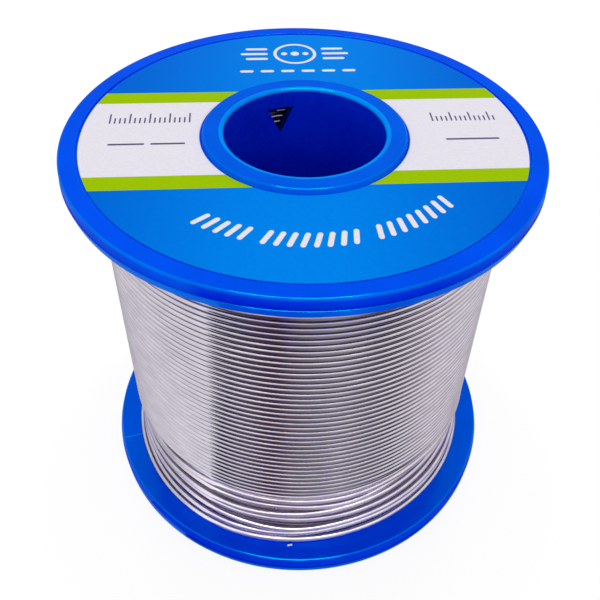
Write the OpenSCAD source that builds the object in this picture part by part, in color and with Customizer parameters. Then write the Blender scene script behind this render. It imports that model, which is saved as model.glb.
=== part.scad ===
// Solder wire spool: a moulded plastic spool with two flanges and a hollow hub,
// a ring label in the upper flange, and a winding of flux-cored solder wire.
// All sizes in millimetres. The spool stands on its lower collar at z = 0,
// with its bore on the Z axis. The front is towards -Y.

/* [Flanges] */
// Diameter of both flanges, over the step in the rim
flange_d = 60; // [56:0.5:80]
// Thickness of a flange at its rim
flange_t = 2.7; // [2.3:0.1:5]
// Height of the rim's outer band, from the outer face to the step
rim_band_h = 1.6; // [0.8:0.05:1.8]
// Width of the small ledge at the rim's step
rim_step = 0.1; // [0.02:0.01:0.25]
// How far the rim's inner band is drawn in between the step and the inner face
rim_draft = 0.28; // [0.05:0.01:0.6]
// Radius of the rounded corner at the rim's outer face
rim_round = 0.3; // [0.1:0.05:0.5]
// Width of the plain ring between the rim and the label's recess
rim_w = 2.15; // [1.2:0.05:4]
// Depth of the label's recess
recess_depth = 0.2; // [0.16:0.01:0.6]

/* [Hub] */
// Diameter of the bore for the spindle
bore_d = 20.2; // [10:0.1:28]
// Thickness of the hub's wall
hub_wall = 1.6; // [1:0.1:3]
// Distance between the two flanges, which the winding fills
winding_w = 49.5; // [45:0.5:80]
// How far a collar's foot stands out from the hub's outer surface
collar_w = 1.25; // [0.6:0.05:3]
// Height of a collar above the rim's outer face
collar_rise = 0.45; // [0.2:0.05:2]
// How far a collar's side leans in towards its top
collar_lean = 0.35; // [0.1:0.05:0.5]
// Radius of the rounded edge at the bore's mouths
bore_round = 0.4; // [0.1:0.05:0.8]

/* [Window in the hub] */
// Width of the three-cornered window at its top edge
window_w = 3.6; // [2:0.1:6]
// Height of the window, from its top edge to its lowest corner
window_h = 3.8; // [2:0.1:6]
// How far the window runs up past the flange's inner face
window_bite = 0.5; // [0:0.1:1.5]
// Angle of the window round the hub, from the back
window_turn = 21; // [-180:1:180]

/* [Label] */
// Thickness of the label
label_t = 0.12; // [0.06:0.01:0.15]
// Gap between the label and the recess or collar beside it
label_gap = 0.12; // [0.05:0.01:0.5]

/* [Wire] */
// Diameter of the solder wire
wire_d = 0.8; // [0.5:0.05:1.2]
// Diameter of the flux core in the wire
flux_d = 0.3; // [0.15:0.05:0.4]
// Diameter over the even turns of the outer layer
winding_d = 52.1; // [44:0.1:53]
// Number of loops that the outer layer is drawn with
loops = 24; // [10:1:24]
// Share of the loops, counted from the lower flange, that lie loose
loose_share = 0.2; // [0.1:0.05:0.5]
// How far the loosest loop stands out from the even ones
loose_rise = 1.2; // [0.2:0.1:1.2]
// Direction in which the loose loops stand out the most
loose_turn = -25; // [-180:1:180]
// How far the wire's cut end stands out from the even turns
tail_reach = 1.4; // [0.6:0.1:1.4]
// Direction in which the wire's cut end points
tail_turn = -91; // [-180:1:180]

/* [Hidden] */
$fn = 144;

plastic_blue = "#0b57de";
bore_blue = "#0a3fc4";
label_blue = "#0a7ce0";
solder_grey = "#c9c6cc";
solder_shade = "#a9a6b0";
rosin_amber = "#b8862b";

corner_steps = 3;        // straight pieces in a rounded corner
chamfer_share = 0.2;     // part of the rim's inner band that its chamfer takes
bend_steps = 6;          // rings in a bend of the wire
skim = 0.02;             // least clearance between the wire and what it lies on
eps = 0.01;              // overlap that makes a cut clean

flange_r = flange_d / 2;
hub_r = bore_d / 2 + hub_wall;
recess_r = flange_r - rim_w;
collar_foot_r = hub_r + collar_w;
collar_top_r = collar_foot_r - collar_lean;

rim_low_z = collar_rise;                       // lower rim's outer face
gap_low_z = rim_low_z + flange_t;              // lower flange's inner face
gap_high_z = gap_low_z + winding_w;            // upper flange's inner face
rim_high_z = gap_high_z + flange_t;            // upper rim's outer face
spool_h = rim_high_z + collar_rise;

// Winding: the drawn outer layer clears the plain layers below it, even where
// its straight pieces cut the corner between two rings.
ring_steps = 24;                               // rings in a loop
ring_sides = 6;
winding_r = winding_d / 2;
turn_r = winding_r - wire_d / 2;               // middle of the even turns
chord_sag = turn_r * (1 - cos(180 / ring_steps));
core_r = turn_r - chord_sag - wire_d / 2 - skim;
bend_r = wire_d;                               // bends at the wire's two ends
tuck_r = core_r - wire_d;                      // where the end is tucked in
rebate_r = tuck_r - wire_d - skim;             // room below the turns, at both flanges
rebate_rows = 2.2;                             // height of that room, in wires
rebate_h = rebate_rows * wire_d;

// ---------------------------------------------------------------- helpers

// Points of a quarter-round corner about a centre, from one angle to another.
function arc(centre, r, from, to) = [
    for (i = [0 : corner_steps])
        let (a = from + (to - from) * i / corner_steps)
        centre + r * [cos(a), sin(a)]
];

function unit(v) = v / norm(v);

// Smooth step from 0 to 1 while x goes from a to b.
function ease(x, a, b) =
    let (t = min(1, max(0, (x - a) / (b - a))))
    t * t * (3 - 2 * t);

function polar(r, a, z) = [r * cos(a), r * sin(a), z];

// Turns a piece of the upper end into the same piece of the lower end.
module at_lower_end() {
    translate([0, 0, spool_h])
        mirror([0, 0, 1])
            children();
}

// ---------------------------------------------------------------- spool

// Half section of a flange, drawn for the upper end.
module flange_section() {
    step_z = rim_high_z - rim_band_h;
    band_r = flange_r - rim_step;
    inner_r = flange_r - rim_draft;
    chamfer = chamfer_share * (flange_t - rim_band_h);
    polygon(concat(
        [
            [hub_r, gap_high_z],
            [hub_r, rim_high_z - recess_depth],
            [recess_r, rim_high_z - recess_depth],
            [recess_r, rim_high_z]
        ],
        arc([band_r - rim_round, rim_high_z - rim_round], rim_round, 90, 0),
        [
            [band_r, step_z],
            [flange_r, step_z - rim_step / 2],
            [inner_r, gap_high_z + chamfer],
            [inner_r - chamfer, gap_high_z]
        ]
    ));
}

module flange() {
    rotate_extrude()
        flange_section();
}

module top_flange() {
    color(plastic_blue)
        flange();
}

module bottom_flange() {
    color(plastic_blue)
        at_lower_end()
            flange();
}

// Half section of the hub with a collar at each end.
module hub_section() {
    bore_r = bore_d / 2;
    top_foot_z = rim_high_z - recess_depth;
    low_foot_z = rim_low_z + recess_depth;
    polygon(concat(
        arc([bore_r + bore_round, bore_round], bore_round, 180, 270),
        [
            [collar_top_r, 0],
            [collar_foot_r, low_foot_z],
            [hub_r, low_foot_z],
            [hub_r, top_foot_z],
            [collar_foot_r, top_foot_z],
            [collar_top_r, spool_h]
        ],
        arc([bore_r + bore_round, spool_h - bore_round], bore_round, 90, 180)
    ));
}

// Three-cornered prism that cuts the window, pointing down.
module window_cutter() {
    window_top_z = gap_high_z + window_bite;
    cut_depth = 2 * hub_wall;
    rotate([0, 0, window_turn])
        translate([0, hub_r + eps, window_top_z])
            rotate([90, 0, 0])
                linear_extrude(cut_depth)
                    polygon([
                        [-window_w / 2, 0],
                        [window_w / 2, 0],
                        [0, -window_h]
                    ]);
}

module hub() {
    color(bore_blue)
        difference() {
            rotate_extrude()
                hub_section();
            window_cutter();
        }
}

// ---------------------------------------------------------------- label

module top_label() {
    color(label_blue)
        translate([0, 0, rim_high_z - recess_depth])
            difference() {
                cylinder(h = label_t, r = recess_r - label_gap);
                translate([0, 0, -eps])
                    cylinder(h = label_t + 2 * eps, r = collar_foot_r + label_gap);
            }
}

// ---------------------------------------------------------------- winding

// The layers below the outer one, as one plain body that stops short of both
// flanges at its edge, where the wire climbs and its end is tucked in.
module inner_winding() {
    color(solder_shade)
        rotate_extrude()
            polygon([
                [hub_r, gap_low_z],
                [rebate_r, gap_low_z],
                [rebate_r, gap_low_z + rebate_h],
                [core_r, gap_low_z + rebate_h],
                [core_r, gap_high_z - rebate_h],
                [rebate_r, gap_high_z - rebate_h],
                [rebate_r, gap_high_z],
                [hub_r, gap_high_z]
            ]);
}

// Route of the outer layer's middle line, from the upper flange down.
// It starts square to the layers below, winds down with even loops, lies
// loose near the lower flange, is tucked in below its last loop and ends
// square, pointing outwards.
top_z = gap_high_z - wire_d / 2 - skim;
low_z = gap_low_z + wire_d / 2 + skim;
start_turn = tail_turn + loops * 360;
start_r = rebate_r + wire_d;                   // where the first bend begins
first_r = start_r + bend_r;                    // radius of the first loop
climb = 90;                                    // angle in which it rises to turn_r
tuck = 100;                                    // angle in which the end is tucked in
level_turn = 90;                               // angle that lies level at a flange
level_share = level_turn / (loops * 360);
full_share = 0.4;                              // part of the loose loops at full rise
far_share = 0.5;                               // rise that is left on the far side

function wound_share(a) = (start_turn - a) / (loops * 360);

function loose_r(a) =
    let (
        left = 1 - wound_share(a),
        swell = ease(left, loose_share, loose_share * full_share),
        side = (1 + far_share + (1 - far_share) * cos(a - loose_turn)) / 2
    )
    loose_rise * swell * side;

function loop_r(a) =
    let (
        risen = ease(start_turn - a, 0, climb),
        tucked = ease(a - tail_turn, tuck, 0),
        wound_r = first_r + (turn_r - first_r) * risen + loose_r(a)
    )
    wound_r + (tuck_r - wound_r) * tucked;

function loop_z(a) =
    let (t = (wound_share(a) - level_share) / (1 - 2 * level_share))
    top_z + (low_z - top_z) * min(1, max(0, t));

// A point beside a spoke: out along it, and across it against the winding.
function beside(r, a, z, out, across) =
    polar(r + out, a, z) + across * [-sin(a), cos(a), 0];

quarter = [for (i = [0 : bend_steps]) 90 * i / bend_steps];
run_in = [
    polar(rebate_r, start_turn, top_z),
    polar(rebate_r + wire_d / 2, start_turn, top_z)
];
bend_in = [
    for (b = quarter)
        beside(start_r, start_turn, top_z, bend_r * sin(b), bend_r * (cos(b) - 1))
];
first_a = start_turn - atan(bend_r / first_r);
last_a = tail_turn + atan(bend_r / tuck_r);
rings = loops * ring_steps;
wound = [
    for (i = [1 : rings - 1])
        let (a = first_a + (last_a - first_a) * i / rings)
        polar(loop_r(a), a, loop_z(a))
];
bend_out = [
    for (b = quarter)
        beside(tuck_r, tail_turn, low_z, bend_r * (1 - cos(b)), bend_r * (1 - sin(b)))
];
tail_from = tuck_r + bend_r + wire_d;
run_out = [
    polar(tail_from - wire_d / 2, tail_turn, low_z),
    polar(tail_from, tail_turn, low_z)
];
route = concat(run_in, bend_in, wound, bend_out, run_out);
last = len(route) - 1;

// Corners of the tube's ring at one point of the route.
function ring_at(i) =
    let (
        before = route[max(i - 1, 0)],
        after = route[min(i + 1, last)],
        ahead = unit(after - before),
        side = unit(cross(ahead, [0, 0, 1])),
        up = cross(side, ahead)
    )
    [
        for (k = [0 : ring_sides - 1])
            let (b = 360 * k / ring_sides)
            route[i] + wire_d / 2 * (cos(b) * side + sin(b) * up)
    ];

tube_points = [for (i = [0 : last]) each ring_at(i)];
tube_walls = [
    for (i = [0 : last - 1], k = [0 : ring_sides - 1])
        let (
            a = i * ring_sides + k,
            b = i * ring_sides + (k + 1) % ring_sides,
            c = a + ring_sides,
            d = b + ring_sides
        )
        each [[a, b, d], [a, d, c]]
];
near_cap = [for (k = [1 : ring_sides - 2]) [0, k + 1, k]];
far_cap = [
    for (k = [1 : ring_sides - 2])
        let (o = last * ring_sides)
        [o, o + k, o + k + 1]
];

module outer_turns() {
    color(solder_grey)
        polyhedron(tube_points, concat(tube_walls, near_cap, far_cap));
}

// Least gap between the tube and itself: each point of the route against the
// points that lie at least half a loop further along.
apart = ring_steps / 2;
least_gap = min([
    for (i = [0 : last - apart], j = [i + apart : min(last, i + 2 * ring_steps)])
        norm(route[i] - route[j])
]) - wire_d;
echo(least_gap_mm = least_gap);

// ---------------------------------------------------------------- wire end

// The tail carries the tube on to the cut end. It lies on the lower flange.
tail_to = winding_r + tail_reach;

module along_tail() {
    translate(polar(tail_from, tail_turn, low_z))
        rotate([0, 90, tail_turn])
            children();
}

module wire_tail() {
    color(solder_grey)
        along_tail()
            difference() {
                cylinder(h = tail_to - tail_from, d = wire_d);
                translate([0, 0, -eps])
                    cylinder(h = tail_to - tail_from + 2 * eps, d = flux_d);
            }
}

module flux_core() {
    color(rosin_amber)
        along_tail()
            cylinder(h = tail_to - tail_from, d = flux_d);
}

top_flange();
hub();
bottom_flange();
top_label();
inner_winding();
outer_turns();
wire_tail();
flux_core();
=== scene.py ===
# %% [markdown]
# # A spool of solder wire
#
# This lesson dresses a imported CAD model: a blue moulded spool, a ring label on its upper flange, and a
# winding of bright solder wire. The CAD model is loaded first and stays where it is. Every piece made
# here takes its place from it, in metres, and stands for the node that it replaces.

import math

import bmesh
import bpy
import numpy as np
from mathutils import Matrix, Vector


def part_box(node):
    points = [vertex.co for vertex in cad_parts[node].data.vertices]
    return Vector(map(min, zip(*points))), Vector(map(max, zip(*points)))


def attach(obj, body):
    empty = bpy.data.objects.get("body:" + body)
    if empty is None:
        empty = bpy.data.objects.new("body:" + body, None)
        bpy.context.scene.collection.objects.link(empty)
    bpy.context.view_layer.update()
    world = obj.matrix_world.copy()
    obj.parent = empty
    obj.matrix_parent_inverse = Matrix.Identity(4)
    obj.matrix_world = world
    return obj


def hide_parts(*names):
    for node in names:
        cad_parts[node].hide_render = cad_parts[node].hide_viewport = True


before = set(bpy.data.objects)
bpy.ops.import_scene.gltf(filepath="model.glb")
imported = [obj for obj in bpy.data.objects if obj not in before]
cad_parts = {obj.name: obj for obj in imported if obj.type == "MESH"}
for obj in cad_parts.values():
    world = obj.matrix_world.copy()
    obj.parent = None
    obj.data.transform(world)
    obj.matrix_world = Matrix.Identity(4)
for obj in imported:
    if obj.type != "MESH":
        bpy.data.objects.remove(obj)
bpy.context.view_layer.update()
scene = bpy.context.scene
scene.view_settings.view_transform = "Standard"
print("CAD nodes:", sorted(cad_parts))

# %% [markdown]
# The main sizes could be typed in again, but a dressed model then drifts away from its CAD model as soon
# as one of them changes. So they are read from the boxes of the CAD nodes. The finer sizes, such as the
# rounding of an edge, are written further down where they are first needed, in millimetres.

# %% Sizes from the CAD model
MM = 0.001
X, Y, Z = range(3)


def node_span(node, axis):
    """Lowest and highest value of a CAD node along one axis, in millimetres."""
    low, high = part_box(node)
    return low[axis] / MM, high[axis] / MM


RIM_LOW_Z, GAP_LOW_Z = node_span("bottom_flange", Z)
GAP_HIGH_Z, RIM_HIGH_Z = node_span("top_flange", Z)
SPOOL_H = node_span("hub", Z)[1]
FLANGE_R = node_span("top_flange", X)[1]
COLLAR_FOOT_R = node_span("hub", X)[1]
LABEL_LOW_Z, LABEL_HIGH_Z = node_span("top_label", Z)
LABEL_R = node_span("top_label", X)[1]
CORE_R = node_span("inner_winding", X)[1]
TAIL_TIP_R = -node_span("wire_tail", Y)[0]
TAIL_FROM_R = -node_span("wire_tail", Y)[1]
print(f"rim {FLANGE_R:.2f} mm, gap {GAP_LOW_Z:.2f} to {GAP_HIGH_Z:.2f} mm, height {SPOOL_H:.2f} mm")

# %% [markdown]
# The camera is an ordinary one with a 45 mm lens. It stands in front of the spool and above it, and
# looks down by 43 degrees with a slight roll. It could be aimed by a constraint at an empty, but a roll
# is awkward to set that way. Its three axes are built from the two angles instead.

# %% Camera
CAMERA_AT = Vector((1.89, -81.9, 105.9)) * MM
LENS = 45.47
PITCH_DOWN = math.radians(43.195)
ROLL = 0.0375
SHIFT = (-0.0241, -0.0219)

camera_data = bpy.data.cameras.new("camera")
camera_data.lens = LENS
camera_data.sensor_width = 36.0
camera_data.shift_x, camera_data.shift_y = SHIFT
camera_data.clip_start, camera_data.clip_end = 0.005, 20.0
camera = bpy.data.objects.new("camera", camera_data)
scene.collection.objects.link(camera)
ahead = Vector((0.0, math.cos(PITCH_DOWN), -math.sin(PITCH_DOWN)))
level = Vector((1.0, 0.0, 0.0))
upright = level.cross(ahead)
right = math.cos(ROLL) * level + math.sin(ROLL) * upright
up = math.cos(ROLL) * upright - math.sin(ROLL) * level
turn = Matrix((right, up, -ahead)).transposed()
camera.matrix_world = Matrix.Translation(CAMERA_AT) @ turn.to_4x4()
scene.camera = camera
print("camera at", [round(c, 4) for c in CAMERA_AT])

# %% [markdown]
# ## Helpers for materials
#
# A material here is a small network of nodes. It could be wired by hand in the node editor, but a few
# short helpers keep the recipes readable. The first ones add a node, a number along an axis, a sum, and
# a surface with one Principled shader.


# %% Node helpers
def add_node(tree, kind, **values):
    """Adds a shader node. A value is set on the input of that name, or else on the node itself."""
    node = tree.nodes.new(kind)
    for name, value in values.items():
        socket = node.inputs.get(name.replace("_", " "))
        if socket is None:
            setattr(node, name, value)
        else:
            socket.default_value = value
    return node


def place_along(tree, axis, coordinates="Object"):
    """Where on one axis a point of the surface lies."""
    place = add_node(tree, "ShaderNodeTexCoord")
    split = add_node(tree, "ShaderNodeSeparateXYZ")
    tree.links.new(place.outputs[coordinates], split.inputs["Vector"])
    return split.outputs[axis]


def calculate(tree, operation, first, second=0.0):
    """A sum with one or two values. The second is a number or the output of another node."""
    node = add_node(tree, "ShaderNodeMath", operation=operation)
    tree.links.new(first, node.inputs[0])
    if isinstance(second, bpy.types.NodeSocket):
        tree.links.new(second, node.inputs[1])
    else:
        node.inputs[1].default_value = second
    return node.outputs[0]


def new_surface(name, **shader_values):
    """A material with one Principled shader. Returns the material, its tree and the shader."""
    material = bpy.data.materials.new(name)
    material.use_nodes = True
    tree = material.node_tree
    shader = tree.nodes["Principled BSDF"]
    for key, value in shader_values.items():
        shader.inputs[key.replace("_", " ")].default_value = value
    return material, tree, shader


# %% [markdown]
# The others make patterns. No surface is quite even, and an image texture of one would blur or repeat.
# So each finish below starts from a noise, and a ramp turns it into colours.


# %% Noise and ramp
def rgba(red, green, blue):
    return (red, green, blue, 1.0)


def noise_value(tree, scale, detail=3.0, stretch=(1.0, 1.0, 1.0), coordinates="Object"):
    """A noise, stretched along the axes. On an object its grains are about 1/scale metres apart."""
    place = add_node(tree, "ShaderNodeTexCoord")
    mapping = add_node(tree, "ShaderNodeMapping", Scale=stretch)
    noise = add_node(tree, "ShaderNodeTexNoise", Scale=scale, Detail=detail)
    tree.links.new(place.outputs[coordinates], mapping.inputs["Vector"])
    tree.links.new(mapping.outputs["Vector"], noise.inputs["Vector"])
    return noise.outputs["Fac"]


def ramp(tree, value, *stops):
    """Turns a value into a colour: each stop is a position and a colour."""
    node = add_node(tree, "ShaderNodeValToRGB")
    elements = node.color_ramp.elements
    while len(elements) < len(stops):
        elements.new(0.5)
    for element, (position, colour) in zip(elements, stops):
        element.position = position
        element.color = colour
    tree.links.new(value, node.inputs["Fac"])
    return node.outputs["Color"]


# %% [markdown]
# A range turns the same noise into a roughness, and a bump tilts the light by it, as small dents would.
# Where two things colour one place, such as a dye and its shade, the two colours are multiplied.


# %% Range, tint and bump
def spread(tree, value, low, high, edge_low=0.3, edge_high=0.7):
    """Stretches what lies between two edges over a range. The usual edges suit a noise."""
    node = add_node(tree, "ShaderNodeMapRange", From_Min=edge_low, From_Max=edge_high)
    node.inputs["To Min"].default_value = low
    node.inputs["To Max"].default_value = high
    tree.links.new(value, node.inputs["Value"])
    return node.outputs["Result"]


def tinted(tree, colour, tint):
    """One colour multiplied by another."""
    blend = add_node(tree, "ShaderNodeMixRGB", blend_type="MULTIPLY", Fac=1.0)
    tree.links.new(colour, blend.inputs["Color1"])
    tree.links.new(tint, blend.inputs["Color2"])
    return blend.outputs["Color"]


def add_bump(tree, shader, height, distance, strength=1.0):
    bump = add_node(tree, "ShaderNodeBump", Strength=strength, Distance=distance)
    tree.links.new(height, bump.inputs["Height"])
    tree.links.new(bump.outputs["Normal"], shader.inputs["Normal"])


# %% [markdown]
# ## The blue plastic
#
# The spool is polystyrene with a strong blue dye. Such a plastic is deep blue where it only scatters
# light, and brighter and greener where it mirrors it. A plain shader would mirror in white, which looks
# milky over so deep a blue, so the mirror colour is tinted towards cyan. Blender fades that tint at a
# glancing look. A very low index puts the fading off, and a tint far above 1 makes up for the little
# that such an index mirrors: head on, about 6 % of the green and 7 % of the blue.
#
# One dye gives several blues, and all but the flanges' own are painted light and shade. The bore and the
# cut of the window take a painted shade, a deeper blue. The collar takes painted light, and the soft edges,
# the bore's mouths and the thin mould lines a painted highlight, lighter and greener. Each pair below is
# the deep and the light end of slow clouds. Each finish is the roughest and the smoothest place, and the
# depth of a shallow bump, in millimetres.

# %% Blues and finishes
PLASTIC_MIRROR = rgba(0.0, 155.0, 187.0)
PLASTIC_IOR = 1.04
FLANGE_BLUES = rgba(0.0, 0.018, 0.75), rgba(0.0, 0.028, 0.84)
# painted shade: the bore's blues, and the window walls' near black
BORE_SHADE_BLUES = rgba(0.0, 0.010, 0.56), rgba(0.0, 0.018, 0.66)
PAINTED_SHADE_BLUES = rgba(0.0, 0.000, 0.04), rgba(0.0, 0.001, 0.08)
# painted light: the collar's blues; painted highlight: the edges' and the flash's blues
COLLAR_LIT_BLUES = rgba(0.0, 0.042, 0.68), rgba(0.0, 0.058, 0.76)
EDGE_HIGHLIGHT_BLUES = rgba(0.0, 0.070, 0.74), rgba(0.0, 0.105, 0.82)
FLASH_HIGHLIGHT_BLUES = rgba(0.0, 0.16, 0.80), rgba(0.0, 0.24, 0.88)
MOULDED = (0.26, 0.16, 0.006)
DULL = (0.40, 0.22, 0.020)
POLISHED = (0.15, 0.07, 0.004)
print("deep blue of the flanges:", FLANGE_BLUES[0][:3], "and of the bore:", BORE_SHADE_BLUES[0][:3])

# %% [markdown]
# The outer band of each rim isn't one blue: painted shade and painted highlight lie over it. On the upper
# rim a painted shade darkens it along the ledge, where the halves of the mould met, and a painted highlight
# lightens it towards the rim's face. On the lower rim a painted shade runs round the middle of the band,
# above a painted highlight on the foot. Separate strips of mesh could carry the shades, but their borders
# would show. A ramp over the height blends them. It is counted from the spool's middle outward, so that
# one recipe serves both rims.

# %% Painted shade and highlight of the rims' bands
UPPER_PAINTED_LIGHT = [
    # depth under the rim's face in millimetres, and the painted light and shade that multiplies the blue
    # there
    (1.60, (1.0, 0.05, 0.80)),
    (1.15, (1.0, 0.35, 0.93)),
    (0.60, (1.0, 0.90, 1.05)),
    (0.36, (1.0, 1.20, 1.08)),
    (0.00, (1.0, 4.50, 1.02)),
]
LOWER_PAINTED_LIGHT = [
    (1.60, (1.0, 2.20, 1.08)),
    (1.36, (1.0, 1.60, 1.04)),
    (1.14, (1.0, 0.12, 0.76)),
    (0.82, (1.0, 0.16, 0.74)),
    (0.62, (1.0, 5.60, 1.03)),
    (0.00, (1.0, 6.50, 1.05)),
]


def painted_band_light(tree, shades):
    """The painted shade and highlight of a rim's band at each height."""
    above_middle = calculate(tree, "SUBTRACT", place_along(tree, "Z"), SPOOL_H / 2 * MM)
    from_middle = calculate(tree, "ABSOLUTE", above_middle)
    face = RIM_HIGH_Z - SPOOL_H / 2
    deepest = shades[0][0]
    share = spread(tree, from_middle, 0.0, 1.0, (face - deepest) * MM, face * MM)
    stops = [(1 - depth / deepest, rgba(*shade)) for depth, shade in shades]
    return ramp(tree, share, *stops)


print(f"shades over {UPPER_PAINTED_LIGHT[0][0]} mm of the rims: {len(UPPER_PAINTED_LIGHT)} above, {len(LOWER_PAINTED_LIGHT)} below")

# %% [markdown]
# One recipe makes all the blues. Slow noise shifts the colour a little, fine noise makes some places
# glossier than others, and the bump gives the slight unevenness of a moulding.


# %% Plastics
def make_plastic(name, blues, finish, shades=None):
    deep, light = blues
    roughest, smoothest, dent_depth = finish
    material, tree, shader = new_surface(name, IOR=PLASTIC_IOR, Specular_Tint=PLASTIC_MIRROR)
    cloud = noise_value(tree, 140.0, detail=4.0)
    colour = ramp(tree, cloud, (0.35, deep), (0.65, light))
    if shades:
        colour = tinted(tree, colour, painted_band_light(tree, shades))
    tree.links.new(colour, shader.inputs["Base Color"])
    scuff = noise_value(tree, 900.0, detail=6.0)
    tree.links.new(spread(tree, scuff, smoothest, roughest), shader.inputs["Roughness"])
    add_bump(tree, shader, noise_value(tree, 700.0), dent_depth * MM)
    print("plastic:", name)
    return material


flange_plastic = make_plastic("flange_plastic", FLANGE_BLUES, MOULDED)
# the bore and the window walls get painted shade, the collar painted light, the edges and flash a painted
# highlight
bore_shaded_plastic = make_plastic("bore_shaded_plastic", BORE_SHADE_BLUES, DULL)
painted_shade_plastic = make_plastic("painted_shade_plastic", PAINTED_SHADE_BLUES, DULL)
collar_lit_plastic = make_plastic("collar_lit_plastic", COLLAR_LIT_BLUES, MOULDED)
edge_highlight_plastic = make_plastic("edge_highlight_plastic", EDGE_HIGHLIGHT_BLUES, POLISHED)
flash_highlight_plastic = make_plastic("flash_highlight_plastic", FLASH_HIGHLIGHT_BLUES, POLISHED)
# painted shade and highlight on the rims' bands
upper_band_painted = make_plastic("upper_band_painted", FLANGE_BLUES, MOULDED, UPPER_PAINTED_LIGHT)
lower_band_painted = make_plastic("lower_band_painted", FLANGE_BLUES, MOULDED, LOWER_PAINTED_LIGHT)

# %% [markdown]
# ## The label's inks
#
# The label is coated paper. Its inks are flat fields of blue, green and white with a satin surface, and
# a dark grey for the marks. One image texture could hold them all, but it would blur close up, so each
# ink is a material and the fields are cut into the mesh later. Fine noise gives each ink a trace of
# paper grain, in its colour and in its gloss. The two strong colours mirror in their own tint, as the
# plastic does, and the blue takes a painted shade towards the two sides.

# %% Inks
PLAIN_MIRROR, PLAIN_IOR = rgba(2.0, 2.0, 2.2), 1.26
BLUE_MIRROR, GREEN_MIRROR, COLOUR_IOR = rgba(0.0, 75.0, 97.0), rgba(30.0, 35.0, 4.0), 1.04
EVEN = rgba(1.0, 1.0, 1.0)
BLUE_SHADE_AT_SIDES = rgba(1.0, 0.52, 0.80)
SIDES_FROM, SIDES_TO = 5 * MM, 24 * MM
FADED_SHARE = 0.93


def make_ink(name, colour, mirror=PLAIN_MIRROR, index=PLAIN_IOR, side_shade=EVEN):
    material, tree, shader = new_surface(name, IOR=index, Specular_Tint=mirror)
    grain = noise_value(tree, 2500.0, detail=5.0)
    faded = rgba(*(FADED_SHARE * c for c in colour[:3]))
    aside = calculate(tree, "ABSOLUTE", place_along(tree, "X"))
    # painted shade: the ink darkens towards the label's two sides
    sides = ramp(tree, aside, (SIDES_FROM, EVEN), (SIDES_TO, side_shade))
    printed = tinted(tree, ramp(tree, grain, (0.3, faded), (0.7, colour)), sides)
    tree.links.new(printed, shader.inputs["Base Color"])
    tree.links.new(spread(tree, grain, 0.30, 0.42), shader.inputs["Roughness"])
    add_bump(tree, shader, grain, 0.003 * MM)
    print("ink:", name)
    return material


ink_blue = make_ink("label_ink_blue", rgba(0.0, 0.195, 0.79), BLUE_MIRROR, COLOUR_IOR, BLUE_SHADE_AT_SIDES)
ink_green = make_ink("label_ink_green", rgba(0.315, 0.52, 0.0), GREEN_MIRROR, COLOUR_IOR)
ink_white = make_ink("label_ink_white", rgba(0.765, 0.74, 0.82))
ink_grey = make_ink("label_ink_grey", rgba(0.055, 0.045, 0.13))

# %% [markdown]
# ## The solder
#
# Solder wire is drawn through a die, which leaves a bright grey metal with fine lines along its length.
# Lines could be cut into the mesh, but they are far finer than any mesh. The tube that is built later
# has a UV map instead: U runs along the wire and V round it. Noise that is long in U and short in V draws
# the lines, in the roughness and the bump, and slower noise draws the tarnish. The shader is also
# anisotropic, so that its highlights spread round the wire and stay sharp along it.
#
# The wire isn't the same grey everywhere, and the differences are painted light and shade. A painted shade
# darkens the grooves between close turns. It lies low on the wire's outer side, so a ramp over V places
# it. The loose turns stand free and take a painted highlight, lighter and more lavender, bright only at
# the front and painted duller round the other sides. The layer below them lies in their shade and takes a
# darker grey, a painted shade, and the first layer, seen through the window, is painted darker still.

# %% Greys of the solder
BRIGHT_GREYS = rgba(0.67, 0.64, 0.70), rgba(0.58, 0.55, 0.61)
# painted highlight: the loose turns' greys are lighter and more lavender than the wire's own
LOOSE_LIT_GREYS = rgba(1.0, 0.96, 1.0), rgba(0.84, 0.75, 0.97)
# painted shade: the layer under the loose turns, and darker still the first layer
UNDER_SHADE_GREYS = rgba(0.46, 0.40, 0.50), rgba(0.36, 0.30, 0.40)
SHADED_GREYS = rgba(0.32, 0.28, 0.35), rgba(0.24, 0.20, 0.27)
# painted shade in the grooves between turns, and none
UNSHADED = rgba(1.0, 1.0, 1.0)
GROOVE_SHADE = rgba(0.35, 0.31, 0.36)
GROOVE_FROM_V, GROOVE_TO_V = 0.52, 0.59
LOOSE_LIGHT_ROUND_SPOOL = [
    # angle round the spool, and what share of its brightness the painted light leaves the loose wire there
    (-180.0, 0.52),
    (-134.0, 0.56),
    (-114.0, 1.00),
    (-66.0, 1.00),
    (-48.0, 0.70),
    (0.0, 0.56),
    (180.0, 0.52),
]
print("brightest and dullest share of the loose turns:", max(s for _, s in LOOSE_LIGHT_ROUND_SPOOL), LOOSE_LIGHT_ROUND_SPOOL[0][1])

# %% [markdown]
# The recipe takes the greys, the smoothest and roughest place, and how much of a metal the surface is.
# A tangent from the UV map tells the anisotropic shader which way the wire runs.

# %% Solder
DIE_LINES = (0.6, 60.0, 1.0)
TARNISH = (3.0, 2.0, 1.0)


def painted_light_round_spool(tree):
    """Painted light: how bright the loose wire stays, as a grey, by the angle round the spool."""
    place = add_node(tree, "ShaderNodeTexCoord")
    sweep = add_node(tree, "ShaderNodeTexGradient", gradient_type="RADIAL")
    tree.links.new(place.outputs["Object"], sweep.inputs["Vector"])
    stops = [(angle / 360 + 0.5, rgba(share, share, share)) for angle, share in LOOSE_LIGHT_ROUND_SPOOL]
    return ramp(tree, sweep.outputs["Fac"], *stops)


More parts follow.
